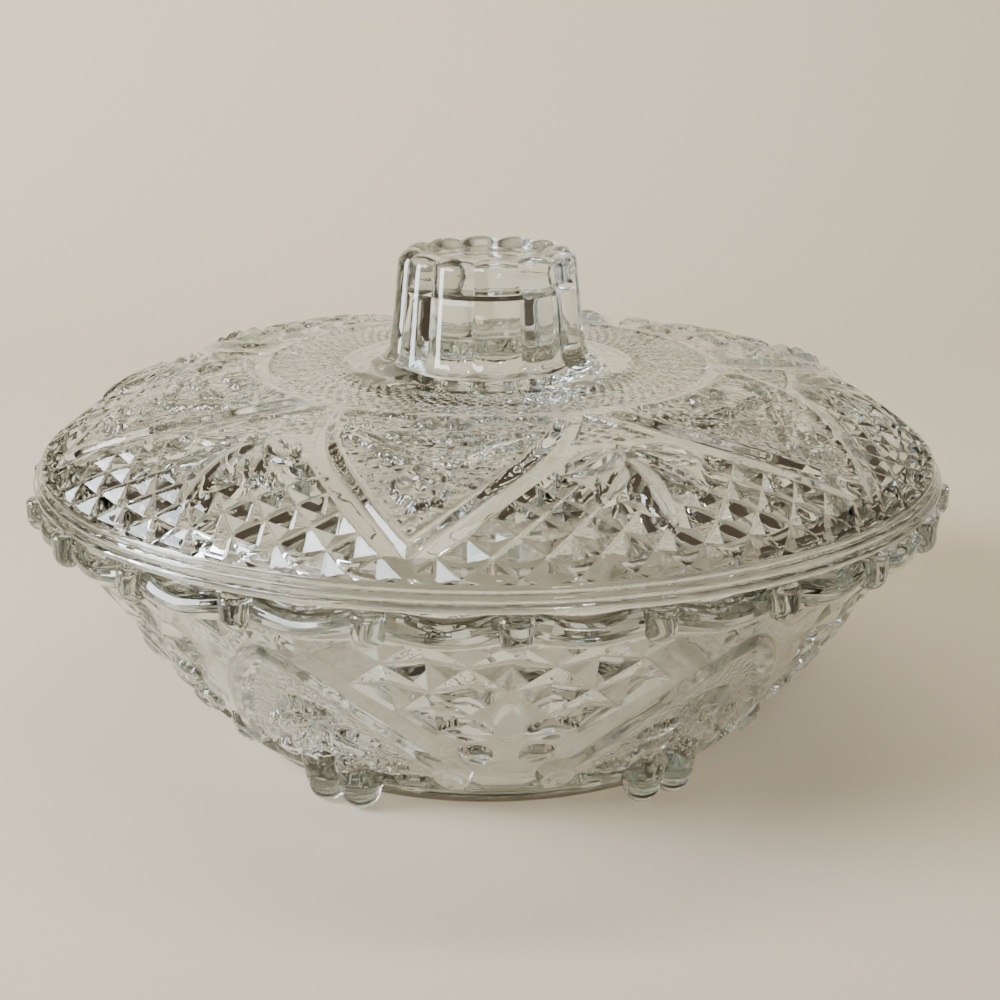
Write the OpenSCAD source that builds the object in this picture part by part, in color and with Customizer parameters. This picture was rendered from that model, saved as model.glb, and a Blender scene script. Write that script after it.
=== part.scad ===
// Covered candy dish in clear pressed glass: a footed bowl and a domed lid with a hollow knob.
// Millimetres, +Z up. The origin is the centre of the base, on the surface the dish stands on.

/* [Bowl] */
// Radius of the flat base
base_r = 50.5; // [46:0.5:53]
// Height of the plain edge around the base
base_edge_h = 3.2; // [2:0.2:4]
// Outer radius of the wall where it meets the rim band
wall_top_r = 84; // [81:0.5:86]
// Thickness of the wall, measured level
wall_t = 5; // [4:0.2:6]
// Thickness of the floor
floor_t = 5; // [4:0.2:8]
// How far the wall bulges outside a straight cone
wall_bulge = 1.2; // [0:0.2:2.4]

/* [Rim band] */
// Height of the bowl's rim above the table
rim_z = 49.6; // [46:0.2:56]
// Height of the band below the rim
band_h = 4.6; // [4:0.2:6]
// How far the band stands out from the wall
band_out = 3; // [2:0.2:3.6]
// Number of beads around the rim
bead_count = 24; // [12:6:30]
// Radius of one bead
bead_r = 2.8; // [2:0.1:3]
// How far the beads hang below the band
bead_drop = 1.3; // [0.4:0.1:2]

/* [Panels] */
// Number of medallions, feet and lid triangles
panel_count = 6; // [4:1:6]
// How far the raised panels stand out
panel_out = 1.2; // [0.6:0.2:1.6]
// Half width of a medallion at its bottom edge
medallion_w = 25; // [18:0.5:26]
// Angle by which the lid's pattern is turned from the bowl's
lid_turn = -11.5; // [-30:0.5:30]

/* [Feet] */
// Radius of the circle through the toes
toe_ring_r = 56; // [54:0.5:57]
// Radius of one toe
toe_r = 3.6; // [2.8:0.1:4]
// Distance between the two toes of a foot
toe_gap = 6.9; // [5.6:0.1:8]

/* [Lid] */
// Outer radius of the lid's rim
lid_r = 87.4; // [85:0.2:88]
// Height of the lid's stepped rim
lid_rim_h = 4.2; // [3:0.3:6]
// Rise of the dome above the stepped rim
dome_h = 15.2; // [12:0.2:18]
// Thickness of the dome
lid_t = 3.8; // [3:0.2:4.6]
// Fullness of the dome's curve: 2 is a parabola, more is flatter in the middle
dome_power = 4.8; // [2:0.2:6]
// Depth of the ring under the lid that sits in the bowl's mouth
flange_h = 3.1; // [2.4:0.1:3.4]

/* [Knob] */
// Height of the knob above the dome
knob_h = 22.4; // [16:0.2:26]
// Radius over the flutes at the knob's foot
knob_foot_r = 19.2; // [17:0.2:20]
// Radius over the flutes at the knob's top
knob_top_r = 17.3; // [15:0.1:18]
// Number of flutes around the knob
flute_count = 12; // [10:1:14]
// Depth of the grooves between the flutes
flute_depth = 1.3; // [0.6:0.1:1.8]
// Radius of the knob's rounded shoulder
knob_round = 3.4; // [2:0.2:4.4]
// Thickness of the solid glass at the knob's top
knob_cap_t = 7.2; // [5:0.2:9]

/* [Hidden] */
glass = [0.80, 0.85, 0.84, 0.45];
$fn = 96;
panel_step = 360 / panel_count;
// Running gaps between the lid and the bowl
lid_side_gap = 0.4;
lid_seat_gap = 0.3;
// The wall starts a small step outside the base's edge
wall_foot_r = base_r + 1.2;
wall_top_z = rim_z - band_h;
// The bowl's mouth and the ledge that the lid sits on
lip_t = 1.6;
mouth_r = wall_top_r - lip_t;
ledge_drop = 2.7;
ledge_z = rim_z - ledge_drop;
edge_round = 0.6;
wall_steps = 10;
// The medallions' pointed arches, and the plain wall left below and above them
arch_steps = 10;
arch_power = 0.6;
arch_foot_gap = 0.8;
arch_top_gap = 5;
// How far the beads stand above the rim and out from the band
bead_rise = 0.3;
bead_out = 2;
// The toes run up into the wall and clear the table by a hair, so that the base carries the dish
toe_root_z = 10.8;
toe_lift = 0.1;
// The lid's heights
flange_z = ledge_z + lid_seat_gap;
flange_r = mouth_r - lid_side_gap;
flange_t = 2.6;
lid_z = flange_z + flange_h;
dome_foot_z = lid_z + lid_rim_h;
dome_top_z = dome_foot_z + dome_h;
lid_steps = 3;
lid_step_in = 0.7;
dome_step_in = 0.8;
dome_r = lid_r - lid_steps * lid_step_in - dome_step_in;
dome_points = 22;
collar_r = 28;
collar_h = 0.5;
// The knob's skin and hollow
knob_top_z = dome_top_z + knob_h;
knob_sink = 2;
knob_wall = 4.6;
hollow_widen = 1;
flute_points = 6;
round_steps = 4;

// Outer radius of the wall at t, from 0 at the base's edge to 1 under the rim band
function wall_r(t) = wall_foot_r + (wall_top_r - wall_foot_r) * t + 4 * wall_bulge * t * (1 - t);
function wall_z(t) = base_edge_h + (wall_top_z - base_edge_h) * t;
// The share of the wall's height that lies at z
function wall_share(z) = (z - base_edge_h) / (wall_top_z - base_edge_h);
// Height of the dome's outer surface at radius r
function dome_z(r) = dome_top_z - dome_h * pow(r / dome_r, dome_power);

// The wall's outline, moved out by grow
function wall_line(grow) = [
    for (i = [0:wall_steps]) [wall_r(i / wall_steps) + grow, wall_z(i / wall_steps)]
];

// Radius of the knob's fluted edge at angle a: round flutes with sharp grooves between them
function flute_edge(a) = knob_foot_r - flute_depth * (1 - abs(cos(flute_count * a / 2)));

// The dome's outline from radius r0 to r1, moved up by lift
function dome_line(r0, r1, lift) = [
    for (i = [0:dome_points]) let (x = r0 + (r1 - r0) * i / dome_points) [x, dome_z(x) + lift]
];

// An upright peg of radius r, from z = 0 to h, with a round end on top
module peg(r, h) {
    rotate_extrude($fn = 32)
        intersection() {
            union() {
                square([r, h]);
                translate([0, h])
                    circle(r = r, $fn = 64);
            }
            square([r, h + r]);
        }
}

// Everything outside the bowl's cavity: the base, the wall and the rim band
module bowl_body() {
    band_r = wall_top_r + band_out;
    rotate_extrude()
        polygon(concat(
            [[0, 0], [base_r - edge_round, 0], [base_r, edge_round], [base_r, base_edge_h]],
            wall_line(0),
            [
                [band_r - edge_round, wall_top_z],
                [band_r, wall_top_z + edge_round],
                [band_r, rim_z - edge_round],
                [band_r - edge_round, rim_z],
                [0, rim_z]
            ]
        ));
}

// The space inside the bowl, with the ledge that the lid sits on
module bowl_cavity() {
    t_floor = wall_share(floor_t);
    t_ledge = wall_share(ledge_z);
    inner = [
        for (i = [0:wall_steps])
            let (t = t_floor + (t_ledge - t_floor) * i / wall_steps)
                [wall_r(t) - wall_t, wall_z(t)]
    ];
    rotate_extrude()
        polygon(concat(
            [[0, floor_t]],
            inner,
            [[mouth_r, ledge_z], [mouth_r, rim_z + 1], [0, rim_z + 1]]
        ));
}

// One bead of the rim: an upright peg with its round end below
module bead() {
    bottom_z = wall_top_z - bead_drop;
    translate([wall_top_r + band_out + bead_out - bead_r, 0, rim_z + bead_rise])
        mirror([0, 0, 1])
            peg(bead_r, rim_z + bead_rise - bottom_z - bead_r);
}

// One foot: two round toes side by side, rooted in the wall
module foot() {
    for (side = [-1, 1])
        translate([toe_ring_r, side * toe_gap / 2, toe_root_z])
            mirror([0, 0, 1])
                peg(toe_r, toe_root_z - toe_r - toe_lift);
}

// Outline of a medallion seen from outside: a pointed arch with sides that bow out
module medallion_outline() {
    foot_z = base_edge_h + arch_foot_gap;
    arch_h = wall_top_z - arch_top_gap - foot_z;
    side = [
        for (i = [0:arch_steps])
            let (t = i / arch_steps)
                [medallion_w * pow(1 - t, arch_power), foot_z + arch_h * t]
    ];
    polygon(concat(side, [for (i = [arch_steps - 1:-1:0]) [-side[i].x, side[i].y]]));
}

// The medallions: the wall's own outline moved out, kept only inside each medallion's outline
module medallions() {
    cutter_start = base_r * 0.6;
    cutter_depth = wall_top_r - 10;
    root_r = base_r - 2;
    intersection() {
        rotate_extrude()
            polygon(concat(
                [[root_r, base_edge_h]],
                wall_line(panel_out),
                [[wall_top_r - wall_t, wall_top_z]]
            ));
        for (k = [0:panel_count - 1])
            rotate([0, 0, -90 + (k + 0.5) * panel_step])
                translate([cutter_start, 0, 0])
                    rotate([90, 0, 90])
                        linear_extrude(height = cutter_depth)
                            medallion_outline();
    }
}

module bowl() {
    color(glass)
        difference() {
            union() {
                bowl_body();
                medallions();
                for (k = [0:bead_count - 1])
                    rotate([0, 0, -90 + k * 360 / bead_count])
                        bead();
                for (k = [0:panel_count - 1])
                    rotate([0, 0, -90 + (k + 0.5) * panel_step])
                        foot();
            }
            bowl_cavity();
        }
}

// The lid's outside down to the flange: the collar, the dome and the stepped rim
module lid_body() {
    step_h = lid_rim_h / lid_steps;
    steps = [
        for (i = [lid_steps:-1:1])
            each [
                [lid_r - (i - 1) * lid_step_in, lid_z + i * step_h],
                [lid_r - (i - 1) * lid_step_in, lid_z + (i - 1) * step_h]
            ]
    ];
    rotate_extrude()
        polygon(concat(
            [[0, dome_top_z + collar_h], [collar_r, dome_top_z + collar_h]],
            dome_line(collar_r, dome_r, 0),
            steps,
            [[flange_r, lid_z], [flange_r, flange_z], [0, flange_z]]
        ));
}

// The space under the lid, up to the top of the knob's hollow
module lid_cavity() {
    inner_r = flange_r - flange_t;
    hollow_foot_r = knob_foot_r - knob_wall;
    hollow_top_r = knob_top_r - knob_wall + hollow_widen;
    rotate_extrude()
        polygon(concat(
            [[0, knob_top_z - knob_cap_t], [hollow_top_r, knob_top_z - knob_cap_t]],
            dome_line(hollow_foot_r, inner_r, -lid_t),
            [[inner_r, flange_z - 1], [0, flange_z - 1]]
        ));
}

// Outline of a lid triangle seen from above: the tip points out and the two long sides bow out
module triangle_outline() {
    tip_r = dome_r - 2;
    side_bow = 3;
    back_r = 48;
    half_w = 20;
    side_steps = 6;
    side = [
        for (i = [0:side_steps])
            let (t = i / side_steps)
                [back_r + (tip_r - back_r) * t, half_w * (1 - t) + 4 * side_bow * t * (1 - t)]
    ];
    polygon(concat(side, [for (i = [side_steps - 1:-1:0]) [side[i].x, -side[i].y]]));
}

// The lid's raised triangles: the dome's own outline moved up, kept only inside each outline
module triangles() {
    root_z = dome_foot_z - 1;
    intersection() {
        rotate_extrude()
            polygon(concat(
                dome_line(collar_r, dome_r, panel_out),
                [[dome_r, root_z], [collar_r, root_z]]
            ));
        for (k = [0:panel_count - 1])
            rotate([0, 0, -90 + lid_turn + k * panel_step])
                linear_extrude(height = dome_top_z + 2 * panel_out)
                    triangle_outline();
    }
}

// The fluted knob: one skin through rings of points that shrink up the taper and round over at the top
module knob() {
    top_in = knob_foot_r - knob_top_r;
    rings = concat(
        [[0, -knob_sink]],
        [[0, 0]],
        [
            for (i = [0:round_steps])
                let (a = 90 * i / round_steps)
                    [top_in + knob_round * (1 - cos(a)), knob_h - knob_round * (1 - sin(a))]
        ]
    );
    n = flute_count * flute_points;
    points = [
        for (ring = rings)
            for (j = [0:n - 1])
                let (a = 360 * j / n)
                    [
                        (flute_edge(a) - ring[0]) * cos(a),
                        (flute_edge(a) - ring[0]) * sin(a),
                        dome_top_z + ring[1]
                    ]
    ];
    sides = [
        for (i = [0:len(rings) - 2])
            for (j = [0:n - 1])
                let (k = (j + 1) % n)
                    each [
                        [i * n + j, (i + 1) * n + j, (i + 1) * n + k],
                        [i * n + j, (i + 1) * n + k, i * n + k]
                    ]
    ];
    foot = [for (j = [0:n - 1]) j];
    top = [for (j = [n - 1:-1:0]) (len(rings) - 1) * n + j];
    polyhedron(points = points, faces = concat(sides, [foot, top]));
}

module lid() {
    color(glass)
        difference() {
            union() {
                lid_body();
                triangles();
                rotate([0, 0, lid_turn + 180 / flute_count])
                    knob();
            }
            lid_cavity();
        }
}

bowl();
lid();
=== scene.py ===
"""Covered candy dish in clear pressed glass: a footed bowl and a domed lid, each one piece of glass.

Each piece is a closed skin of rings round the dish's axis. The pattern is real relief in those
rings, and the beads and toes are joined on as solids. Lengths are in millimetres until a mesh is
made. Angles are in degrees, measured round the axis from the front (-Y) towards +X.
"""

import math

import bmesh
import bpy
import numpy as np
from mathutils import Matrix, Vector


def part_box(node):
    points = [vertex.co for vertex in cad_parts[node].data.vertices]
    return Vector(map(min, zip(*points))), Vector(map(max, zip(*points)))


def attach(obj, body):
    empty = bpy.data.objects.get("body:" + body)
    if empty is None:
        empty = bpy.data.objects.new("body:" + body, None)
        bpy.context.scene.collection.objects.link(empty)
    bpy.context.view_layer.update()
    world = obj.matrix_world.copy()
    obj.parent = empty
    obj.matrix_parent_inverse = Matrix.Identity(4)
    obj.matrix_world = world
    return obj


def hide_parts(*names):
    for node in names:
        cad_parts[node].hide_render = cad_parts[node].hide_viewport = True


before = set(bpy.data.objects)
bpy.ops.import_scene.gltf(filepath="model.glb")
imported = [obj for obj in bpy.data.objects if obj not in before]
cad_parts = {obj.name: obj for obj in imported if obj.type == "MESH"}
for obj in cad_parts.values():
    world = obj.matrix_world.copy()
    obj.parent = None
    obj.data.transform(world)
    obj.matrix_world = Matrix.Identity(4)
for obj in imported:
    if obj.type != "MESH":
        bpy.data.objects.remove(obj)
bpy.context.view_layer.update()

MM = 0.001
_, bowl_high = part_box("bowl")
lid_low, lid_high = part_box("lid")

# Sizes read from the frame
BEAD_OUTER_R = bowl_high[0] / MM
BEAD_TOP_Z = bowl_high[2] / MM
LID_R = lid_high[0] / MM
FLANGE_Z = lid_low[2] / MM
KNOB_TOP_Z = lid_high[2] / MM

REPEATS = 6  # of the pattern, round the dish
SECTOR = 360 // REPEATS

# Bowl
BASE_R = 50.5
BASE_EDGE_Z = 3.2
WALL_FOOT_R = 51.7
WALL_TOP_R = 84.0
WALL_TOP_Z = 45.0
WALL_BULGE = 1.2
WALL_T = 5.0
FLOOR_Z = 5.0
MOUTH_R = 82.4
LEDGE_Z = 46.9
RIM_Z = BEAD_TOP_Z - 0.3
WALL_SLANT = math.hypot(1, (WALL_TOP_R - WALL_FOOT_R) / (WALL_TOP_Z - BASE_EDGE_Z))

# Rim band
BEADS = 24
BEAD_STEP = 360 / BEADS
BEAD_R = 2.8
BEAD_FOOT_Z = 43.7
SWAG_TOP = 1.3
SWAG_FOOT = 0.9
PILLOW_R = 87.7
SPAN_END_R = 86.2
BAND_STEPS = 26
BAND_FLUTES = 4
BAND_FLUTE_DEPTH = 0.035

# Feet
TOE_RING_R = 56.0
TOE_ANGLE = 3.52
TOE_R = 3.5

# Medallions
MEDALLION_W = 25.0
MEDALLION_FOOT_Z = 4.0
MEDALLION_H = 36.0
MEDALLION_CURVE = 0.6
BORDER_W = 4.7
BORDER_BEVEL = 2.0
BORDER_RISE = 1.15
BORDER_FALL_W = 1.5
BORDER_FALL = 1.05
GROUND_H = 0.35
CORNER_REACH = 3.0

# The bowl's relief. A motif is its place (across, up), its half lengths and its turn in degrees
BOWL_RIDGE = 0.6
BOWL_PIT = 1.45
BOWL_CELL_ANGLE = 5
BOWL_CELL_H = 6.05
BOWL_CELL_Z = 39.4
ROWS_PER_CELL = 16
BOWL_CELL_CLEAR = 6.0
BOWL_CELLS_FROM_Z = 24
BOWL_FLOWER_Z = 25.5
BOWL_FLOWER_TOP_Z = 30
BOWL_BUD_SIZE = (3.3, 8.6)
BOWL_FLOWER_LEAVES = (((6.9, -2.8), (4.9, 3.5), 8), ((5.2, -11.2), (3.6, 2.9), 32))
BOWL_ROSE_AT = (0.5, 29.0)
BOWL_ROSE_R = 5.6
BOWL_ROSE_LEAVES = (
    ((5.0, 18.5), (6.2, 2.7), -50),
    ((-4.8, 17.0), (6.0, 2.6), 52),
    ((8.2, 23.0), (4.4, 2.0), -30),
    ((-7.2, 23.8), (4.4, 2.0), 34),
    ((9.6, 13.6), (4.8, 2.1), -8),
    ((-9.6, 12.6), (4.8, 2.1), 10),
)
BOWL_STEM_W = 0.8
BOWL_STEM_FOOT = 10.5
BOWL_STEM_TOP = 25
BOWL_LUMP = ((9.0, 13.2), (3.5, 4.6), -25)
BOWL_DROP = ((15.8, 7.4), (5.4, 3.0))
BOWL_BUD_RISE = 0.7
BOWL_LEAF_RISE = 1.6
BOWL_LEAF_VEIN = 0.5
BOWL_ROSE_LEAF_RISE = 1.5
BOWL_ROSE_LEAF_VEIN = 0.7
BOWL_STEM_RISE = 0.55
BOWL_LUMP_RISE = 2.2
BOWL_DROP_FOOT = 0.3
BOWL_DROP_RISE = 1.5
BORDER_RIB_STEP = 4.7
BORDER_RIB_RISE = 0.05
GRAIN = 0.8
GRAIN_RISE = 0.16
BASE_FADE = 1.2

# Lid
LID_Z = FLANGE_Z + 3.1
DOME_FOOT_Z = LID_Z + 4.2
DOME_R = LID_R - 2.9
DOME_H = 15.2
DOME_TOP_Z = DOME_FOOT_Z + DOME_H
DOME_POWER = 4.8
LID_T = 3.8
FLANGE_R = MOUTH_R - 0.4
FLANGE_T = 2.6
ROLL_OUT = 0.42
COLLAR_R = 28.0
COLLAR_H = 0.5
LID_TURN = -11.5
TRIANGLE_BACK = 45.0
TRIANGLE_TIP = 82.3
TRIANGLE_W = 20.0
TRIANGLE_CURVE = 2.1
BEVEL_W = 2.2
BEVEL_H = 1.05
BEVEL_OUT = 0.4
BEVEL_END = 1.8

# The lid's relief. A motif is its place (across, out from the axis), its half lengths and its turn
LID_RIDGE = 0.75
LID_PIT = 1.55
LID_CELL_ANGLE = 3
LID_ROW = 3.27
LID_MIDDLE_R = DOME_R + 0.2 - LID_ROW
LID_CELL_CLEAR = 4.4
LID_CELLS_FROM_R = 59
SCALE_ANGLE = 2
SCALE_ROW = 1.25
SCALES_TO_R = 57.5
SCALES_CLEAR = 2.6
FINE_EDGE_R = 46.0
MOTIF_SUNK = 0.3
LID_BUD_RISE = 1.8
LID_LEAF_RISE = 1.5
LID_ROSE_LEAF_RISE = 1.2
LID_LEAF_VEIN = 0.6
LID_PEARL_RISE = 1.5
SCALE_FOOT = 0.2
SCALE_RISE = 0.34
LID_BUD = ((0, 71.0), (2.7, 8.0))
LID_FLOWER_LEAVES = (((6.6, 62.8), (6.4, 3.1), 24), ((5.5, 68.8), (5.6, 2.8), 46))
LID_ROSE_AT = (0.2, 69.2)
LID_ROSE_SIZE = (5.2, 5.0)
LID_ROSE_LEAVES = (
    ((5.4, 61.2), (5.8, 2.2), -28),
    ((11.0, 56.5), (5.2, 2.0), -38),
    ((5.0, 55.6), (5.2, 1.8), -8),
)
LID_PEARL = ((2.7, 49.6), (2.3, 2.2))
LID_LUMP = ((14.4, 52.2), (3.2, 4.0), 30)
PEBBLE = 1.5

# Satin and pebbled parts
SATIN_SHARE = 0.4
SATIN_FROM = 1.2
SATIN_EDGE_W = 0.8
STIPPLE_SHARE = 0.7
PEBBLE_EDGE_W = 0.6
ROSE_CLEAR = 0.75
MARKS_FROM_Z = 8
MARKS_TO_Z = 43
RELIEF_REACH = 3.5

# Knob
FLUTES = 12
FLUTE_DEPTH = 1.3
KNOB_TOP_R = 17.3
KNOB_FOOT_R = 19.0
KNOB_ROUND = 3.1
DISH_DROP = 1.9
VALLEY = 0.85
HOLLOW_TOP_Z = KNOB_TOP_Z - 7.2
HOLLOW_FOOT_R = 14.6
HOLLOW_TOP_R = 13.5

# Rings
BOWL_FINE = 1152
LID_FINE = 960
BOWL_COARSE = 288
LID_COARSE = 240
SHARP_ANGLE = 19
SLIVER = 0.001


# ---------------------------------------------------------------- shape helpers


def smooth(x):
    """0 below 0, 1 above 1, and an S-curve between."""
    x = np.clip(x, 0, 1)
    return x * x * (3 - 2 * x)


def soft_min(a, b, reach):
    """The smaller of a and b, rounded off where they are within reach of each other."""
    share = np.clip(0.5 + 0.5 * (b - a) / reach, 0, 1)
    return b + (a - b) * share - reach * share * (1 - share)


def oval(x, y, middle, size, turn=0.0):
    """1 in the middle of an oval, 0 on its edge, negative outside. size holds its two half lengths."""
    c, s = math.cos(math.radians(turn)), math.sin(math.radians(turn))
    dx, dy = x - middle[0], y - middle[1]
    return 1 - np.hypot((dx * c + dy * s) / size[0], (dy * c - dx * s) / size[1])


def dome_of(share):
    """The height of a round dome at share, 1 in its middle and 0 at its edge."""
    share = np.clip(share, 0, 1)
    return np.sqrt(share * (2 - share))


def leaf(x, y, middle, size, turn=0.0):
    """1 in the middle of a pointed leaf, 0 on its edge, negative outside, with how far across it is."""
    c, s = math.cos(math.radians(turn)), math.sin(math.radians(turn))
    dx, dy = x - middle[0], y - middle[1]
    along, across = (dx * c + dy * s) / size[0], (dy * c - dx * s) / size[1]
    return 1 - along**2 - np.abs(across), across


def leaf_height(leaf_at, rise, vein):
    """The height of a leaf that rises to its middle, less the groove along its vein."""
    share, across = leaf_at
    return rise * dome_of(share) - vein * np.exp(-((across / 0.2) ** 2)) * smooth(share * 3)


def chance(i, j, seed):
    """A repeatable number from 0 to 1 for each pair of whole numbers."""
    return np.mod(np.abs(np.sin(i * 127.1 + j * 311.7 + seed * 74.7)) * 43758.5453, 1)


def grains(x, y, pitch, seed):
    """A pebbled ground: 1 in the middle of each grain, 0 between grains."""
    i, j = np.floor(x / pitch), np.floor(y / pitch)
    nearest = np.full(x.shape, 9.0)
    for di in (-1, 0, 1):
        for dj in (-1, 0, 1):
            ci, cj = i + di, j + dj
            px = ci + 0.15 + 0.7 * chance(ci, cj, seed)
            py = cj + 0.15 + 0.7 * chance(ci, cj, seed + 9)
            nearest = np.minimum(nearest, np.hypot(x / pitch - px, y / pitch - py))
    return np.clip(1 - nearest / 0.75, 0, 1)


def cell(u, v):
    """How deep the point lies in its diamond cell: 0 on the edges, 1 in the middle. Also that middle."""
    p, q = (u + v) / 2, (u - v) / 2
    p0, q0 = np.round(p), np.round(q)
    depth = 1 - 2 * np.maximum(np.abs(p - p0), np.abs(q - q0))
    return depth, p0 + q0, p0 - q0


def fold(angle, step):
    """The angle from the nearest multiple of step."""
    return angle - step * np.round(angle / step)


# ---------------------------------------------------------------- skins of rings


class Skin:
    """One closed surface made of rings round the axis. Rings run from one pole to the other."""

    def __init__(self):
        self.points = []
        self.faces = []
        self.count = 0
        self.last = None

    def _add(self, r, z, angles):
        a = np.radians(angles)
        r, z = np.broadcast_to(r, a.shape), np.broadcast_to(z, a.shape)
        self.points.append(np.stack([r * np.sin(a), -r * np.cos(a), z], -1))
        index = np.arange(len(a)) + self.count
        self.count += len(a)
        return index

    def pole(self, z):
        """Adds a point on the axis and closes the last ring onto it."""
        index = self._add(np.zeros(1), z, np.zeros(1))
        if self.last is not None:
            ring = self.last
            nxt = np.roll(ring, -1)
            self.faces.append(np.stack([ring, nxt, np.full(len(ring), index[0])], -1))
        self.last = index

    def ring(self, r, z, angles, flip=None):
        """Adds a ring and joins it to the last one.

        flip says which quads are cut along their other diagonal.
        """
        index = self._add(r, z, angles)
        old = self.last
        nxt = np.roll(index, -1)
        if len(old) == 1:
            self.faces.append(np.stack([np.full(len(index), old[0]), nxt, index], -1))
        elif len(old) == len(index):
            old_nxt = np.roll(old, -1)
            if flip is None:
                flip = np.zeros(len(index), bool)
            flip = flip[:, None]
            third = np.where(flip, index[:, None], nxt[:, None])
            first = np.where(flip, old_nxt[:, None], old[:, None])
            self.faces.append(np.concatenate([np.stack([old, old_nxt], -1), third], -1))
            self.faces.append(np.concatenate([first, np.stack([nxt, index], -1)], -1))
        elif len(index) > len(old):
            self._stitch(old, index, False)
        else:
            self._stitch(index, old, True)
        self.last = index

    def _stitch(self, coarse, fine, turned):
        """Joins a coarse ring to one with a whole number of times as many points."""
        times = len(fine) // len(coarse)
        coarse_nxt = np.roll(coarse, -1)
        fine_nxt = np.roll(fine, -1)
        made = []
        for k in range(times):
            near = coarse if k < times // 2 else coarse_nxt
            made.append(np.stack([near, fine_nxt[k::times], fine[k::times]], -1))
        made.append(np.stack([coarse, coarse_nxt, fine[times // 2 :: times]], -1))
        for face in made:
            self.faces.append(face[:, ::-1] if turned else face)

    def profile(self, line, angles):
        """Adds plain rings along a line of (radius, height) points."""
        for r, z in line:
            self.ring(r, z, angles)

    def mesh(self, name):
        points = np.concatenate(self.points) * MM
        faces = np.concatenate(self.faces)
        made = bpy.data.meshes.new(name)
        made.from_pydata(points.tolist(), [], faces.tolist())
        made.validate()
        return made


def ring_angles(count):
    return np.arange(count) * 360 / count


def relief_rings(skin, line, relief, count, side):
    """Adds rings along a line of (radius, height, level), moved out by relief(level, angle).

    They move along the line's normal. side is 1 when the outside is on the left of the line, seen
    with the axis on the left, and -1 when it is on the right.
    """
    line = np.array(line, float)
    along = np.gradient(line[:, :2], axis=0)
    along /= np.linalg.norm(along, axis=1)[:, None]
    normal = np.stack([-along[:, 1], along[:, 0]], -1) * side
    step = 360 / count
    sector = np.arange(count // REPEATS) * step
    level = line[:, 2][:, None]
    height = relief(level, sector[None, :])
    mid = (level[1:] + level[:-1]) / 2
    centre = relief(mid, sector[None, :] + step / 2)
    nxt = np.roll(height, -1, axis=1)
    along_a = np.abs(centre - (height[:-1] + nxt[1:]) / 2)
    along_b = np.abs(centre - (nxt[:-1] + height[1:]) / 2)
    flips = along_b < along_a
    angles = ring_angles(count)
    for i, (r, z, _) in enumerate(line):
        h = np.tile(height[i], REPEATS)
        flip = np.tile(flips[i - 1], REPEATS) if i else None
        skin.ring(r + normal[i, 0] * h, z + normal[i, 1] * h, angles, flip)


# ---------------------------------------------------------------- bowl


def wall_share(z):
    return (z - BASE_EDGE_Z) / (WALL_TOP_Z - BASE_EDGE_Z)


def wall_r(z):
    """The plain wall's radius at height z."""
    t = wall_share(z)
    return WALL_FOOT_R + (WALL_TOP_R - WALL_FOOT_R) * t + 4 * WALL_BULGE * t * (1 - t)


def medallion_depth(z, angle):
    """How far inside a medallion's outline the point lies, with its distance from the middle line."""
    across = wall_r(z) * np.sin(np.radians(fold(angle - SECTOR / 2, SECTOR)))
    left = np.clip(1 - (z - MEDALLION_FOOT_Z) / MEDALLION_H, 1e-3, 1)
    edge = MEDALLION_W * left**MEDALLION_CURVE
    slope = MEDALLION_W * MEDALLION_CURVE * left ** (MEDALLION_CURVE - 1) / MEDALLION_H / WALL_SLANT
    to_side = (edge - np.abs(across)) / np.sqrt(1 + slope**2)
    to_tip = (MEDALLION_FOOT_Z + MEDALLION_H - z) * WALL_SLANT
    to_foot = (z - MEDALLION_FOOT_Z) * WALL_SLANT
    beyond = -np.hypot(across, np.minimum(to_tip, 0))
    inside = np.where(to_tip < 0, beyond, to_side)
    return soft_min(inside, to_foot, CORNER_REACH), across


def bowl_flower(z, angle):
    """The bud and its two pairs of leaves at the foot of each lattice panel."""
    x = wall_r(z) * np.sin(np.radians(fold(angle, SECTOR)))
    y = (z - BOWL_FLOWER_Z) * WALL_SLANT
    width, height = BOWL_BUD_SIZE
    bud = oval(x, y, (0, 0), (width * (1 - 0.04 * y), height))
    upper, lower = (leaf(np.abs(x), y, *motif) for motif in BOWL_FLOWER_LEAVES)
    return bud, upper, lower


def bowl_rose(across, y):
    """A rose with stems and leaves, inside a medallion."""
    rose = oval(across, y, BOWL_ROSE_AT, (BOWL_ROSE_R, BOWL_ROSE_R))
    petals = 0.25 * np.cos(np.clip(1 - rose, 0, 1.2) * 3 * math.pi)
    turn = np.arctan2(y - BOWL_ROSE_AT[1], across - BOWL_ROSE_AT[0])
    petals = petals + 0.16 * np.cos(5 * turn + 5 * np.clip(1 - rose, 0, 1))
    height = np.where(rose > 0, 1.6 * dome_of(rose) + 1.9 * petals * smooth(rose * 4), 0)
    for motif in BOWL_ROSE_LEAVES:
        leaf_at = leaf(across, y, *motif)
        height = np.maximum(height, leaf_height(leaf_at, BOWL_ROSE_LEAF_RISE, BOWL_ROSE_LEAF_VEIN))
    stem = np.abs(across - 1.4 * np.sin(y / 5.0)) / BOWL_STEM_W
    in_stem = (stem < 1) & (y > BOWL_STEM_FOOT) & (y < BOWL_STEM_TOP)
    stem_height = BOWL_STEM_RISE * np.sqrt(np.clip(1 - stem**2, 0, 1))
    return np.maximum(height, np.where(in_stem, stem_height, 0))


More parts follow.
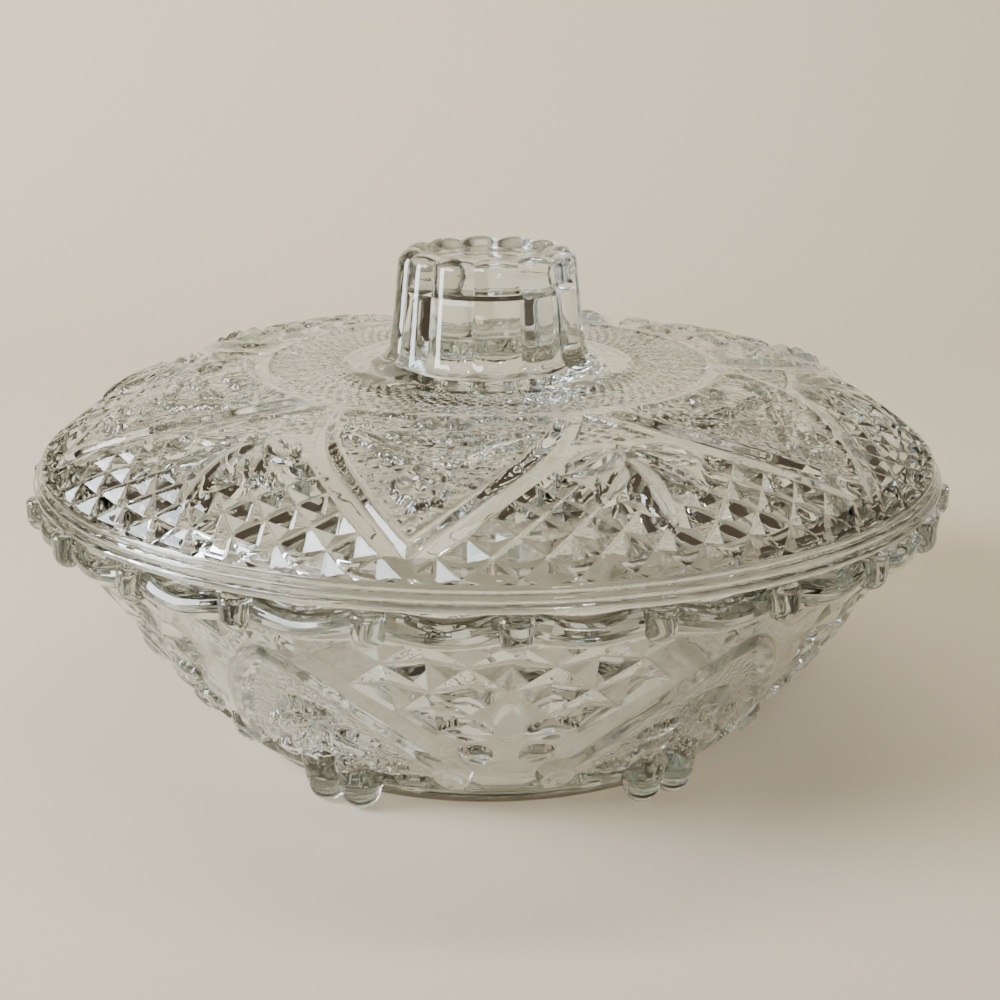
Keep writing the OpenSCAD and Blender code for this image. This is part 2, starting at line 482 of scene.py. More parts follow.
def bowl_relief(z, angle):
    """Height of the wall's pattern over the plain wall."""
    z, angle = np.broadcast_arrays(np.asarray(z, float), np.asarray(angle, float))
    depth, across = medallion_depth(z, angle)
    y = z * WALL_SLANT
    # The diamond lattice, only where a whole cell fits between the medallions
    pit, cu, cv = cell(fold(angle, SECTOR) / BOWL_CELL_ANGLE, (z - BOWL_CELL_Z) / BOWL_CELL_H)
    cell_z, cell_a = BOWL_CELL_Z + cv * BOWL_CELL_H, cu * BOWL_CELL_ANGLE
    cell_depth, _ = medallion_depth(cell_z, cell_a)
    on_bud = (np.abs(cell_a) < 1) & (cell_z < BOWL_FLOWER_TOP_Z)
    in_lattice = (cell_depth < -BOWL_CELL_CLEAR) & (cell_z > BOWL_CELLS_FROM_Z) & ~on_bud
    height = BOWL_RIDGE - np.where(in_lattice, BOWL_PIT * pit, 0)
    bud, upper, lower = bowl_flower(z, angle)
    height = np.where(bud > 0, BOWL_RIDGE + BOWL_BUD_RISE * smooth(bud * 1.6), height)
    for leaf_at in (upper, lower):
        raised = BOWL_RIDGE + leaf_height(leaf_at, BOWL_LEAF_RISE, BOWL_LEAF_VEIN)
        height = np.where(leaf_at[0] > 0, raised, height)
    # The medallion: its border, its stippled ground and its rose
    across_border = np.sin(np.clip(depth / BORDER_W, 0, 1) * math.pi)
    ribs = BORDER_RIB_RISE * np.cos(y / BORDER_RIB_STEP * 2 * math.pi) * across_border
    fall = BORDER_FALL * smooth((depth - BORDER_W + BORDER_FALL_W) / BORDER_FALL_W)
    border = BOWL_RIDGE + BORDER_RISE * smooth(depth / BORDER_BEVEL) - fall
    ground = GROUND_H + GRAIN_RISE * grains(across, y, GRAIN, 3)
    inner = np.where(depth > BORDER_W, ground + bowl_rose(across, y), border + ribs)
    height = np.where(depth > 0, inner, height)
    # Ridged lumps where the borders end, beside the lattice panel's foot
    round_to = np.abs(fold(angle, SECTOR)) * math.radians(1) * wall_r(z)
    lump = oval(round_to, y, *BOWL_LUMP)
    ridged = BOWL_LUMP_RISE * dome_of(lump) + 0.16 * np.cos(np.clip(1 - lump, 0, 1) * 5 * math.pi)
    height = np.where(lump > 0, np.maximum(height, BOWL_RIDGE + ridged), height)
    # The long drops beneath the borders, between the lumps and the feet
    drop = oval(round_to, y, *BOWL_DROP)
    hanging = BOWL_DROP_FOOT + BOWL_DROP_RISE * dome_of(drop)
    height = np.where(drop > 0, np.maximum(height, hanging), height)
    # The pattern fades into the plain edge of the base
    return height * smooth((z - BASE_EDGE_Z) / BASE_FADE)


def bowl_satin(z, angle):
    """The medallions' borders have a faint satin face."""
    depth, _ = medallion_depth(z, angle)
    inner_edge = smooth((depth - BORDER_W + SATIN_EDGE_W) / SATIN_EDGE_W)
    return SATIN_SHARE * smooth((depth - SATIN_FROM) / SATIN_EDGE_W) * (1 - inner_edge)


def bowl_pebble(z, angle):
    """The medallions' ground is stippled, except on the rose and its leaves."""
    depth, across = medallion_depth(z, angle)
    on_rose = smooth(bowl_rose(across, z * WALL_SLANT) / 0.5)
    return STIPPLE_SHARE * smooth((depth - BORDER_W) / PEBBLE_EDGE_W) * (1 - ROSE_CLEAR * on_rose)


def rim_rings(skin):
    """The band between the beads: a fluted pillow that hangs like a swag, and the mouth inside it."""
    angles = ring_angles(BOWL_FINE)
    span = np.cos(np.radians(fold(angles, BEAD_STEP) / BEAD_STEP * 180)) ** 2
    sag = 1 - span
    top = RIM_Z - 0.3 - SWAG_TOP * sag
    foot = WALL_TOP_Z - 0.2 - SWAG_FOOT * sag
    out = SPAN_END_R + (PILLOW_R - SPAN_END_R) * np.sqrt(sag)
    start_r = wall_r(WALL_TOP_Z - 1.2) + BOWL_RIDGE
    skin.ring(start_r + 0.2, WALL_TOP_Z - 0.9 - 0.6 * sag, angles)
    for i in range(BAND_STEPS + 1):
        t = i / BAND_STEPS
        bulge = math.sin(math.pi * (0.08 + 0.84 * t)) ** 0.45
        wave = math.cos(t * BAND_FLUTES * 2 * math.pi)
        flute = BAND_FLUTE_DEPTH * wave * smooth(np.array(min(t, 1 - t) * 6))
        inner = wall_r(WALL_TOP_Z) + 0.3
        r = inner + (out - inner) * bulge - flute
        skin.ring(r, foot + (top - foot) * t, angles)
    skin.ring(WALL_TOP_R + 0.6, top + 0.25, angles)
    skin.ring(MOUTH_R + 0.7, top + 0.2, angles)


def peg(mesh, middle, turn, line, sides=40, ribs=0):
    """Adds an upright turned peg to a bmesh. line runs from the bottom pole to the top pole.

    ribs is how many shallow ribs run down its wider part.
    """
    rings = []
    cx, cy = middle
    for r, z in line:
        if r == 0:
            rings.append([mesh.verts.new((cx * MM, cy * MM, z * MM))])
            continue
        ring = []
        for k in range(sides):
            a = math.radians(turn) + 2 * math.pi * k / sides
            rr = r * (1 + 0.014 * math.cos(ribs * a)) if ribs and r > TOE_R + 0.2 else r
            x, y = cx + rr * math.cos(a), cy + rr * math.sin(a)
            ring.append(mesh.verts.new((x * MM, y * MM, z * MM)))
        rings.append(ring)
    for low, high in zip(rings, rings[1:]):
        for k in range(sides):
            j = (k + 1) % sides
            if len(low) == 1:
                mesh.faces.new((low[0], high[j], high[k]))
            elif len(high) == 1:
                mesh.faces.new((low[k], low[j], high[0]))
            else:
                mesh.faces.new((low[k], low[j], high[j], high[k]))


def round_foot(r, foot_z, steps=9):
    """The line of a round end of radius r that hangs down to foot_z."""
    turns = [math.pi / 2 * i / steps for i in range(1, steps + 1)]
    return [(0, foot_z)] + [(r * math.sin(t), foot_z + r * (1 - math.cos(t))) for t in turns]


def bowl_pegs():
    """The beads of the rim and the toes of the feet."""
    mesh = bmesh.new()
    bead_ring = BEAD_OUTER_R - BEAD_R
    bead = round_foot(BEAD_R, BEAD_FOOT_Z) + [
        (BEAD_R, BEAD_TOP_Z - 0.5),
        (BEAD_R - 0.15, BEAD_TOP_Z - 0.15),
        (BEAD_R - 0.5, BEAD_TOP_Z),
        (1.3, BEAD_TOP_Z - 0.05),
        (0.7, BEAD_TOP_Z - 0.35),
        (0, BEAD_TOP_Z - 0.45),
    ]
    for k in range(BEADS):
        a = math.radians(k * BEAD_STEP)
        peg(mesh, (bead_ring * math.sin(a), -bead_ring * math.cos(a)), k * BEAD_STEP, bead)
    toe = round_foot(TOE_R, 0.1) + [
        (TOE_R, 4.0),
        (TOE_R + 0.45, 4.5),
        (TOE_R + 0.75, 6.5),
        (TOE_R + 1.3, 8.6),
        (TOE_R + 1.2, 10.5),
        (2.0, 11.5),
        (0, 11.6),
    ]
    for k in range(REPEATS):
        for side in (-1, 1):
            a = math.radians((k + 0.5) * SECTOR + side * TOE_ANGLE)
            r = TOE_RING_R
            peg(mesh, (r * math.sin(a), -r * math.cos(a)), math.degrees(a), toe, 48, 16)
    bmesh.ops.recalc_face_normals(mesh, faces=mesh.faces)
    made = bpy.data.meshes.new("bowl_pegs")
    mesh.to_mesh(made)
    mesh.free()
    return made


def bowl_skin():
    """The bowl from the middle of its base, up the outside, over the rim and down to its floor."""
    skin = Skin()
    coarse = ring_angles(BOWL_COARSE)
    skin.pole(0.7)
    skin.profile(((12, 0.7), (24, 0.68), (34, 0.6), (41, 0.4), (43.5, 0.1), (45, 0.0)), coarse)
    skin.profile(((BASE_R - 1.0, 0), (BASE_R - 0.3, 0.3), (BASE_R, 1.0), (BASE_R + 0.1, 2.0)), coarse)
    rows = np.arange(0, 109) * BOWL_CELL_H / ROWS_PER_CELL + BASE_EDGE_Z
    rows = rows[rows < WALL_TOP_Z - 1.7]
    line = [(wall_r(z), z, z) for z in rows]
    relief_rings(skin, line, bowl_relief, BOWL_FINE, -1)
    rim_rings(skin)
    inner = []
    for z in np.linspace(LEDGE_Z, FLOOR_Z + 4, 16):
        inner.append((wall_r(z) - WALL_T, z))
    mouth = [(MOUTH_R, RIM_Z - 1.9), (MOUTH_R, LEDGE_Z + 0.3)]
    mouth += [(MOUTH_R - 0.4, LEDGE_Z), (inner[0][0] + 0.4, LEDGE_Z)]
    corner_r, _ = inner[-1]
    floor = []
    for k in range(1, 6):
        t = k / 5
        floor.append((corner_r - 4.5 * t * (0.6 + 0.4 * t), FLOOR_Z + 4 * (1 - t) ** 2))
    floor += [(36, FLOOR_Z), (20, FLOOR_Z), (8, FLOOR_Z)]
    skin.profile(mouth + [(r, z - 0.01) for r, z in inner] + floor, coarse)
    skin.pole(FLOOR_Z)
    return skin.mesh("bowl_glass")


# ---------------------------------------------------------------- lid


def dome_z(r):
    """The plain dome's height at radius r."""
    return DOME_TOP_Z - DOME_H * (r / DOME_R) ** DOME_POWER


def triangle_depth(r, angle):
    """How far inside a triangle's outline the point lies, with its place along and across it."""
    a = np.radians(fold(angle, SECTOR))
    along, across = r * np.cos(a), r * np.sin(a)
    length = TRIANGLE_TIP - TRIANGLE_BACK
    t = np.clip((along - TRIANGLE_BACK) / length, 0, 1)
    slope = TRIANGLE_W * TRIANGLE_CURVE * t ** (TRIANGLE_CURVE - 1) / length
    past = np.clip(along - TRIANGLE_TIP, 0, None) * TRIANGLE_W * TRIANGLE_CURVE / length
    half = TRIANGLE_W * (1 - t**TRIANGLE_CURVE) - past
    to_side = (half - np.abs(across)) / np.sqrt(1 + slope**2)
    return soft_min(to_side, r - TRIANGLE_BACK, CORNER_REACH), along, across


def lid_flower(r, angle):
    """The tulip between two triangles: a long bud and two pairs of leaves."""
    a = np.radians(fold(angle - SECTOR / 2, SECTOR))
    x, y = r * np.sin(a), r * np.cos(a)
    bud = oval(x, y, *LID_BUD)
    inner, outer = (leaf(np.abs(x), y, *motif) for motif in LID_FLOWER_LEAVES)
    return bud, inner, outer


def lid_rose(along, across):
    """The rose in a triangle, with the leaves behind it, two pearls and the ridged corners."""
    share = oval(across, along, LID_ROSE_AT, LID_ROSE_SIZE)
    ring = np.clip(1 - share, 0, 1.2)
    turn = np.arctan2(along - LID_ROSE_AT[1], across - LID_ROSE_AT[0])
    petals = 0.42 * np.cos(ring * 2.6 * math.pi) + 0.25 * np.cos(5 * turn + 4 * ring)
    height = np.where(share > 0, 1.2 * dome_of(share) + petals * smooth(share * 5), 0)
    for sign in (-1, 1):
        for motif in LID_ROSE_LEAVES:
            leaf_at = leaf(sign * across, along, *motif)
            height = np.maximum(height, leaf_height(leaf_at, LID_ROSE_LEAF_RISE, LID_LEAF_VEIN))
        pearl = oval(sign * across, along, *LID_PEARL)
        height = np.maximum(height, LID_PEARL_RISE * dome_of(pearl))
        lump = oval(sign * across, along, *LID_LUMP)
        ridges = 0.2 * np.cos(np.clip(1 - lump, 0, 1) * 5 * math.pi)
        height = np.maximum(height, np.where(lump > 0, 1.0 * dome_of(lump) + ridges, 0))
    return height


def lid_relief(r, angle):
    """Height of the dome's pattern over the plain dome."""
    r, angle = np.broadcast_arrays(np.asarray(r, float), np.asarray(angle, float))
    angle = angle - LID_TURN
    depth, along, across = triangle_depth(r, angle)
    bud, inner, outer = lid_flower(r, angle)
    # The diamond lattice, only in whole cells clear of the triangles and the tulips
    pit, cu, cv = cell(fold(angle, SECTOR) / LID_CELL_ANGLE, (r - LID_MIDDLE_R) / LID_ROW)
    cell_r, cell_a = LID_MIDDLE_R + cv * LID_ROW, cu * LID_CELL_ANGLE
    cell_depth, _, _ = triangle_depth(cell_r, cell_a)
    cell_bud, cell_inner, cell_outer = lid_flower(cell_r, cell_a)
    flower = np.maximum.reduce((cell_bud, cell_inner[0], cell_outer[0]))
    in_lattice = (cell_depth < -LID_CELL_CLEAR) & (cell_r > LID_CELLS_FROM_R) & (flower < -0.05)
    height = LID_RIDGE - np.where(in_lattice, LID_PIT * pit, 0)
    # The fine scales round the collar
    scale, _, _ = cell(fold(angle, SECTOR) / SCALE_ANGLE, (r - COLLAR_R) / SCALE_ROW)
    in_scales = (r < SCALES_TO_R) & (depth < -SCALES_CLEAR)
    height = np.where(in_scales, SCALE_FOOT + SCALE_RISE * scale, height)
    motif_foot = LID_RIDGE - MOTIF_SUNK
    height = np.where(bud > 0, motif_foot + LID_BUD_RISE * dome_of(bud), height)
    for leaf_at in (inner, outer):
        raised = motif_foot + leaf_height(leaf_at, LID_LEAF_RISE, LID_LEAF_VEIN)
        height = np.where(leaf_at[0] > 0, raised, height)
    # The triangle: a bevel up to its edge, then a pebbled ground a little lower
    bevel = BEVEL_H * smooth((depth + BEVEL_OUT) / BEVEL_W)
    coarse = 0.16 + 0.28 * smooth((along - 58) / 18)
    pebbles = coarse * dome_of(grains(along, across, PEBBLE, 5))
    ground = GROUND_H + pebbles + lid_rose(along, across)
    sunk = smooth((depth - BEVEL_END) / 1.3)
    return np.where(depth > -BEVEL_OUT, LID_RIDGE + bevel * (1 - sunk) + ground * sunk, height)


def lid_pebble(r, angle):
    """Where the triangles' ground is pebbled: most at the tip, less on the rose and its leaves."""
    depth, along, across = triangle_depth(r, angle - LID_TURN)
    on_rose = smooth(lid_rose(along, across) / 0.5)
    to_tip = 0.65 + 0.35 * smooth((along - 56) / 18)
    return smooth((depth - BEVEL_END) / PEBBLE_EDGE_W) * (1 - ROSE_CLEAR * on_rose) * to_tip


def knob_rings(skin):
    """The knob from its dished top to the collar.

    Its round flutes end in domes round the dish and fade out at the foot.
    """
    angles = ring_angles(LID_COARSE)
    flute = np.abs(np.sin(np.radians((angles - LID_TURN) * FLUTES / 2)))
    groove = (1 - flute) ** 1.3
    shoulder_z = KNOB_TOP_Z - KNOB_ROUND
    dish_z = KNOB_TOP_Z - DISH_DROP
    collar_z = DOME_TOP_Z + COLLAR_H
    foot_z = collar_z + 3.2
    # Each point: radius, height, how deep the grooves cut in, and how deep they cut down
    bend_r = KNOB_TOP_R - KNOB_ROUND
    line = [(4, dish_z, 0, 0), (9, dish_z + 0.05, 0, 0), (10.8, dish_z + 0.15, 0, 0)]
    line += [(11.6, dish_z + 0.6, 0, 0.2), (12.4, dish_z + 1.3, 0, 0.5)]
    line += [(13.2, KNOB_TOP_Z - 0.15, 0, 0.8 * VALLEY)]
    for k in range(9):
        t = math.pi / 2 * k / 8
        r, z = bend_r + KNOB_ROUND * math.sin(t), shoulder_z + KNOB_ROUND * math.cos(t)
        line.append((r, z, FLUTE_DEPTH * math.sin(t), VALLEY * math.cos(t) ** 1.5))
    for k in range(1, 9):
        t = k / 8
        r = KNOB_TOP_R + (KNOB_FOOT_R - KNOB_TOP_R) * t
        line.append((r, shoulder_z + (foot_z - shoulder_z) * t, FLUTE_DEPTH, 0))
    line += [
        (KNOB_FOOT_R + 0.4, collar_z + 2.2, 1.2, 0),
        (KNOB_FOOT_R + 0.9, collar_z + 1.4, 1.1, 0),
        (KNOB_FOOT_R + 1.7, collar_z + 0.75, 0.8, 0),
        (KNOB_FOOT_R + 2.8, collar_z + 0.3, 0.4, 0),
        (KNOB_FOOT_R + 4.2, collar_z + 0.08, 0, 0),
        (KNOB_FOOT_R + 5.8, collar_z, 0, 0),
        (COLLAR_R - 1.8, collar_z - 0.02, 0, 0),
        (COLLAR_R - 1.0, collar_z - 0.1, 0, 0),
        (COLLAR_R - 0.4, collar_z - 0.22, 0, 0),
        (COLLAR_R + 0.1, collar_z - 0.38, 0, 0),
    ]
    for r, z, cut_in, cut_down in line:
        skin.ring(r - cut_in * groove, z - cut_down * groove, angles)


def lid_skin():
    """The lid from the top of its knob, over the dome, round the rim and up into the knob's hollow."""
    skin = Skin()
    coarse = ring_angles(LID_COARSE)
    skin.pole(KNOB_TOP_Z - 1.0)
    knob_rings(skin)
    fine_rows = np.arange(COLLAR_R + 0.5, FINE_EDGE_R, 0.5)
    rows = np.arange(LID_MIDDLE_R + LID_ROW, FINE_EDGE_R, -LID_ROW / 8)[::-1]
    levels = np.concatenate([fine_rows[fine_rows < rows[0] - 0.2], rows])
    relief_rings(skin, [(r, dome_z(min(r, DOME_R)), r) for r in levels], lid_relief, LID_FINE, 1)
    # The rim: three round rolls, each a little wider than the one above
    rim = []
    roll_h = (DOME_FOOT_Z - LID_Z) / 3
    for k in (2, 1, 0):
        out, low = LID_R - 0.7 * k, LID_Z + k * roll_h
        for t in (0.0, 0.08, 0.2, 0.4, 0.6, 0.8, 0.92, 1.0):
            swell = math.sin(math.pi * (0.03 + 0.94 * t)) ** 0.6
            rim.append((out - ROLL_OUT + ROLL_OUT * swell, low + roll_h * (1 - t)))
    rim += [(LID_R - 1.2, LID_Z), (FLANGE_R + 0.5, LID_Z), (FLANGE_R, LID_Z - 0.4)]
    rim += [(FLANGE_R, FLANGE_Z + 0.5), (FLANGE_R - 0.4, FLANGE_Z)]
    inner_r = FLANGE_R - FLANGE_T
    rim += [(inner_r + 0.4, FLANGE_Z), (inner_r, FLANGE_Z + 0.5)]
    dome_in = [(r, dome_z(r) - LID_T) for r in np.linspace(inner_r - 2.5, HOLLOW_FOOT_R + 2.5, 26)]
    rim += [(inner_r, dome_in[0][1] - 2.6), (inner_r - 0.7, dome_in[0][1] - 0.9)]
    under = dome_in[-1][1]
    hollow = [
        (HOLLOW_FOOT_R + 1.0, under + 0.25),
        (HOLLOW_FOOT_R + 0.2, under + 1.1),
        (HOLLOW_FOOT_R, under + 2.4),
        ((HOLLOW_FOOT_R + HOLLOW_TOP_R) / 2, (under + HOLLOW_TOP_Z) / 2),
        (HOLLOW_TOP_R, HOLLOW_TOP_Z - 2.2),
        (HOLLOW_TOP_R - 0.5, HOLLOW_TOP_Z - 0.9),
        (HOLLOW_TOP_R - 1.6, HOLLOW_TOP_Z - 0.15),
        (HOLLOW_TOP_R - 3, HOLLOW_TOP_Z + 0.1),
        (7, HOLLOW_TOP_Z + 0.35),
        (3.5, HOLLOW_TOP_Z + 0.55),
    ]
    skin.profile(rim + dome_in + hollow, coarse)
    skin.pole(HOLLOW_TOP_Z + 0.6)
    return skin.mesh("lid_glass")


# ---------------------------------------------------------------- pieces


def place(mesh, name, marks):
    """Makes an object of the mesh, shaded smooth with its real edges kept sharp.

    marks(points) says how satin and how pebbled each point is.
    """
    piece = bpy.data.objects.new(name, mesh)
    bpy.context.scene.collection.objects.link(piece)
    mesh.polygons.foreach_set("use_smooth", [True] * len(mesh.polygons))
    mesh.set_sharp_from_angle(angle=math.radians(SHARP_ANGLE))
    count = len(mesh.vertices)
    points = np.empty(count * 3)
    mesh.vertices.foreach_get("co", points)
    points = points.reshape(-1, 3) / MM
    for mark_name, values in zip(("satin", "pebble"), marks(points)):
        mark = mesh.attributes.new(mark_name, "FLOAT", "POINT")
        mark.data.foreach_set("value", values.astype(np.float32))
    return piece


def bowl_marks(points):
    """The bowl's satin and pebbled parts. The edge that it stands on is worn satin."""
    r = np.hypot(points[:, 0], points[:, 1])
    z = points[:, 2]
    angle = np.degrees(np.arctan2(points[:, 0], -points[:, 1]))
    near_wall = (r > wall_r(z) - WALL_T / 2) & (r < wall_r(z) + RELIEF_REACH)
    outside = near_wall & (z > MARKS_FROM_Z) & (z < MARKS_TO_Z)
    worn_edge = 0.6 * smooth((3.6 - z) / 0.6) * (np.abs(r - BASE_R) < 1.4)
    satin = np.where(outside, bowl_satin(z, angle), worn_edge)
    return satin, np.where(outside, bowl_pebble(z, angle), 0)


def lid_marks(points):
    """The lid's pebbled parts. Nothing on it is satin."""
    r = np.hypot(points[:, 0], points[:, 1])
    angle = np.degrees(np.arctan2(points[:, 0], -points[:, 1]))
    outside = (r > FINE_EDGE_R) & (points[:, 2] > dome_z(np.minimum(r, DOME_R)) - LID_T / 2)
    return np.zeros(len(r)), np.where(outside, lid_pebble(r, angle), 0)


def joined(mesh, other):
    """The mesh with the other closed mesh joined on as one solid."""
    body = bpy.data.objects.new("body", mesh)
    tool = bpy.data.objects.new("tool", other)
    for obj in (body, tool):
        bpy.context.scene.collection.objects.link(obj)
    join = body.modifiers.new("join", "BOOLEAN")
    join.operation = "UNION"
    join.solver = "MANIFOLD"
    join.object = tool
    graph = bpy.context.evaluated_depsgraph_get()
    made = bpy.data.meshes.new_from_object(body.evaluated_get(graph))
    for obj in (body, tool):
        bpy.data.objects.remove(obj)
    return made


def clear_slivers(mesh):
    """Takes out the slivers that joining leaves, with any faces left lying on each other."""
    work = bmesh.new()
    work.from_mesh(mesh)
    bmesh.ops.triangulate(work, faces=work.faces)
    bmesh.ops.dissolve_degenerate(work, dist=SLIVER * MM, edges=work.edges)
    bmesh.ops.triangulate(work, faces=work.faces)
    corners = {}
    for face in work.faces:
        corners.setdefault(frozenset(face.verts), []).append(face)
    doubled = [face for faces in corners.values() if len(faces) > 1 for face in faces]
    bmesh.ops.delete(work, geom=doubled, context="FACES")
    work.to_mesh(mesh)
    work.free()


def fix_normals(mesh):
    """Turns every face of the mesh outwards."""
    work = bmesh.new()
    work.from_mesh(mesh)
    bmesh.ops.recalc_face_normals(work, faces=work.faces)
    work.to_mesh(mesh)
    work.free()


def glass(name, colour, depth_colour, depth_density, pebbles):
    """Clear pressed glass: nearly smooth and faintly wavy, satin or pebbled where the mesh is marked.

    pebbles is how many pebbles there are along a metre.
    """
    mat = bpy.data.materials.new(name)
    mat.use_nodes = True
    nodes, links = mat.node_tree.nodes, mat.node_tree.links
    shader = nodes["Principled BSDF"]
    shader.inputs["Transmission Weight"].default_value = 1.0
    shader.inputs["IOR"].default_value = 1.51
    place_of = nodes.new("ShaderNodeTexCoord")

    def mark_of(mark_name):
        node = nodes.new("ShaderNodeAttribute")
        node.attribute_name = mark_name
        return node.outputs["Fac"]

    satin = mark_of("satin")

    def noise(scale, detail):
        node = nodes.new("ShaderNodeTexNoise")
        node.inputs["Scale"].default_value = scale
        node.inputs["Detail"].default_value = detail
        links.new(place_of.outputs["Object"], node.inputs["Vector"])
        return node.outputs["Fac"]

    def maths(operation, a, b):
        node = nodes.new("ShaderNodeMath")
        node.operation = operation
        for socket, value in zip(node.inputs, (a, b)):
            if isinstance(value, (int, float)):
                socket.default_value = value
            else:
                links.new(value, socket)
        return node.outputs[0]

    wash = nodes.new("ShaderNodeValToRGB")
    wash.color_ramp.elements[0].color = (*[c * 0.97 for c in colour], 1)
    wash.color_ramp.elements[1].color = (*colour, 1)
    links.new(noise(35, 3), wash.inputs["Fac"])
    links.new(wash.outputs["Color"], shader.inputs["Base Color"])
    handled = maths("MULTIPLY", maths("SUBTRACT", noise(90, 5), 0.4), 0.08)
    base = maths("MAXIMUM", handled, 0.006)
    links.new(maths("ADD", base, maths("MULTIPLY", satin, 0.22)), shader.inputs["Roughness"])
    wave = nodes.new("ShaderNodeBump")
    wave.inputs["Strength"].default_value = 0.08
    wave.inputs["Distance"].default_value = 0.0006
    links.new(noise(160, 2), wave.inputs["Height"])
    grain = nodes.new("ShaderNodeBump")
    grain.inputs["Distance"].default_value = 0.0002
    links.new(maths("MULTIPLY", satin, 0.4), grain.inputs["Strength"])
    links.new(noise(2600, 2), grain.inputs["Height"])
    links.new(wave.outputs["Normal"], grain.inputs["Normal"])
    cells = nodes.new("ShaderNodeTexVoronoi")
    cells.inputs["Scale"].default_value = pebbles
    links.new(place_of.outputs["Object"], cells.inputs["Vector"])
    pebble = nodes.new("ShaderNodeBump")
    pebble.invert = True
    pebble.inputs["Distance"].default_value = 0.38 / pebbles
    links.new(mark_of("pebble"), pebble.inputs["Strength"])
    links.new(cells.outputs["Distance"], pebble.inputs["Height"])
    links.new(grain.outputs["Normal"], pebble.inputs["Normal"])
    links.new(pebble.outputs["Normal"], shader.inputs["Normal"])
    absorb = nodes.new("ShaderNodeVolumeAbsorption")
    absorb.inputs["Color"].default_value = (*depth_colour, 1)
    absorb.inputs["Density"].default_value = depth_density
    links.new(absorb.outputs["Volume"], nodes["Material Output"].inputs["Volume"])
    return mat


bowl_mesh = bowl_skin()
fix_normals(bowl_mesh)
bowl_mesh = joined(bowl_mesh, bowl_pegs())
clear_slivers(bowl_mesh)
bowl_piece = place(bowl_mesh, "bowl_glass", bowl_marks)
lid_mesh = lid_skin()
fix_normals(lid_mesh)
lid_piece = place(lid_mesh, "lid_glass", lid_marks)

CLEAR = (0.965, 0.985, 0.975)
DEPTH = (0.80, 0.825, 0.80)
DEPTH_DENSITY = 36.0
BOWL_PEBBLES = 900
LID_PEBBLES = 650
for piece, body, pebbles in ((bowl_piece, "bowl", BOWL_PEBBLES), (lid_piece, "lid", LID_PEBBLES)):
    mat = glass(body + "_clear_glass", CLEAR, DEPTH, DEPTH_DENSITY, pebbles)
    piece.data.materials.clear()
    piece.data.materials.append(mat)
    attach(piece, body)
    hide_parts(body)


# ---------------------------------------------------------------- floor, light and camera


def studio_sweep():
    """A pale floor that curves up into a pale backdrop."""
    half, front, back, bend, top = 0.46, -0.45, 0.62, 0.3, 0.7
    line = [(front, 0.0), (-0.2, 0.0), (back - bend, 0.0)]
    for k in range(1, 13):
        t = math.pi / 2 * k / 12
        line.append((back - bend + bend * math.sin(t), bend * (1 - math.cos(t))))
    line.append((back, top))
    points = [(x, y, z) for y, z in line for x in (-half, half)]
    faces = [(2 * i, 2 * i + 1, 2 * i + 3, 2 * i + 2) for i in range(len(line) - 1)]
    mesh = bpy.data.meshes.new("studio_sweep")
    mesh.from_pydata(points, [], faces)
    mesh.polygons.foreach_set("use_smooth", [True] * len(mesh.polygons))
    sweep = bpy.data.objects.new("studio_sweep", mesh)
    bpy.context.scene.collection.objects.link(sweep)
    mat = bpy.data.materials.new("studio_sweep")
    mat.use_nodes = True
    shader = mat.node_tree.nodes["Principled BSDF"]
    shader.inputs["Base Color"].default_value = (0.50, 0.43, 0.32, 1)
    shader.inputs["Roughness"].default_value = 0.7
    mesh.materials.append(mat)


def area_light(name, place_at, target, size, power, colour, shadow=True):
    """A soft light.

    One without shadow stands for the light that glass passes on to what is under it.
    """
    light = bpy.data.lights.new(name, "AREA")
    light.use_shadow = shadow
    light.shape = "RECTANGLE"
    light.size, light.size_y = size
    light.energy = power
    light.color = colour
    obj = bpy.data.objects.new(name, light)
    bpy.context.scene.collection.objects.link(obj)
    obj.location = place_at
    obj.rotation_euler = (Vector(target) - Vector(place_at)).to_track_quat("-Z", "Y").to_euler()
    return obj


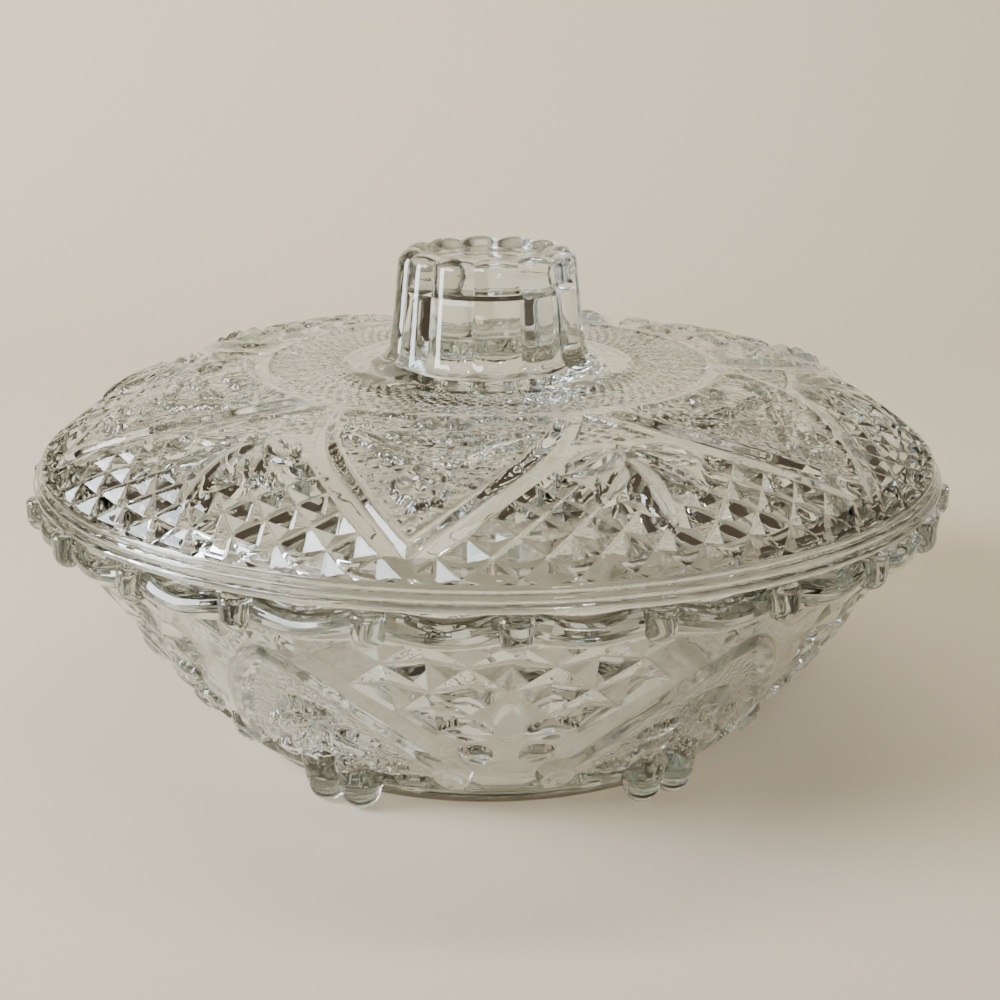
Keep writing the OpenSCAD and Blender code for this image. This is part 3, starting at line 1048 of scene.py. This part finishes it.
DAYLIGHT = (0.82, 0.91, 1.0)
STUDIO_WHITE = (1.0, 0.95, 0.86)
studio_sweep()
area_light("window", (-0.85, -0.08, 0.3), (0, 0, 0.06), (0.34, 0.6), 20, DAYLIGHT)
backdrop_wash = area_light(
    "backdrop_wash", (0.0, 0.1, 0.85), (0, 0.62, 0.25), (0.9, 0.25), 8, STUDIO_WHITE
)
backdrop_wash.visible_glossy = False
backdrop_wash.visible_transmission = False
overhead = area_light(
    "overhead", (0.1, -0.1, 1.0), (0, 0, 0), (0.5, 0.5), 3.6, STUDIO_WHITE, shadow=False
)
overhead.visible_transmission = False
area_light("window_high", (-0.72, -0.42, 0.62), (0, 0, 0.05), (0.4, 0.3), 9, DAYLIGHT)
area_light("lamp", (0.22, -0.9, 0.3), (0, 0, 0.05), (0.08, 0.08), 1.3, (1.0, 0.76, 0.5))
area_light("sparkle", (0.35, -0.7, 1.0), (0, 0, 0.05), (0.05, 0.05), 1.5, (1.0, 0.97, 0.9))

# The room beyond the sweep: pale where the camera sees it, dim where the glass does
world = bpy.data.worlds.new("studio")
world.use_nodes = True
world_nodes, world_links = world.node_tree.nodes, world.node_tree.links
dim = world_nodes["Background"]
dim.inputs["Color"].default_value = (1.0, 0.72, 0.5, 1)
dim.inputs["Strength"].default_value = 0.08
pale = world_nodes.new("ShaderNodeBackground")
pale.inputs["Color"].default_value = (1.0, 0.93, 0.8, 1)
pale.inputs["Strength"].default_value = 0.75
seen = world_nodes.new("ShaderNodeLightPath")
choose = world_nodes.new("ShaderNodeMixShader")
world_links.new(seen.outputs["Is Camera Ray"], choose.inputs["Fac"])
world_links.new(dim.outputs["Background"], choose.inputs[1])
world_links.new(pale.outputs["Background"], choose.inputs[2])
world_links.new(choose.outputs["Shader"], world_nodes["World Output"].inputs["Surface"])
bpy.context.scene.world = world

CAMERA_TARGET = Vector((0, 0, 0.0437))
CAMERA_DISTANCE = 0.3407
CAMERA_TURN = math.radians(-2.89)
CAMERA_RISE = math.radians(16.9)
camera = bpy.data.cameras.new("camera")
camera.lens = 61.4
camera.sensor_width = 36
camera.shift_x = 0.0124
camera.shift_y = -0.0116
camera_object = bpy.data.objects.new("camera", camera)
bpy.context.scene.collection.objects.link(camera_object)
away = Vector(
    (
        math.sin(CAMERA_TURN) * math.cos(CAMERA_RISE),
        -math.cos(CAMERA_TURN) * math.cos(CAMERA_RISE),
        math.sin(CAMERA_RISE),
    )
)
camera_object.location = CAMERA_TARGET + away * CAMERA_DISTANCE
camera_object.rotation_euler = (-away).to_track_quat("-Z", "Y").to_euler()
bpy.context.scene.camera = camera_object

# Light that is reflected inside thick glass needs more bounces than usual before it gets out
GLASS_BOUNCES = 9
bpy.context.scene.cycles.glossy_bounces = GLASS_BOUNCES
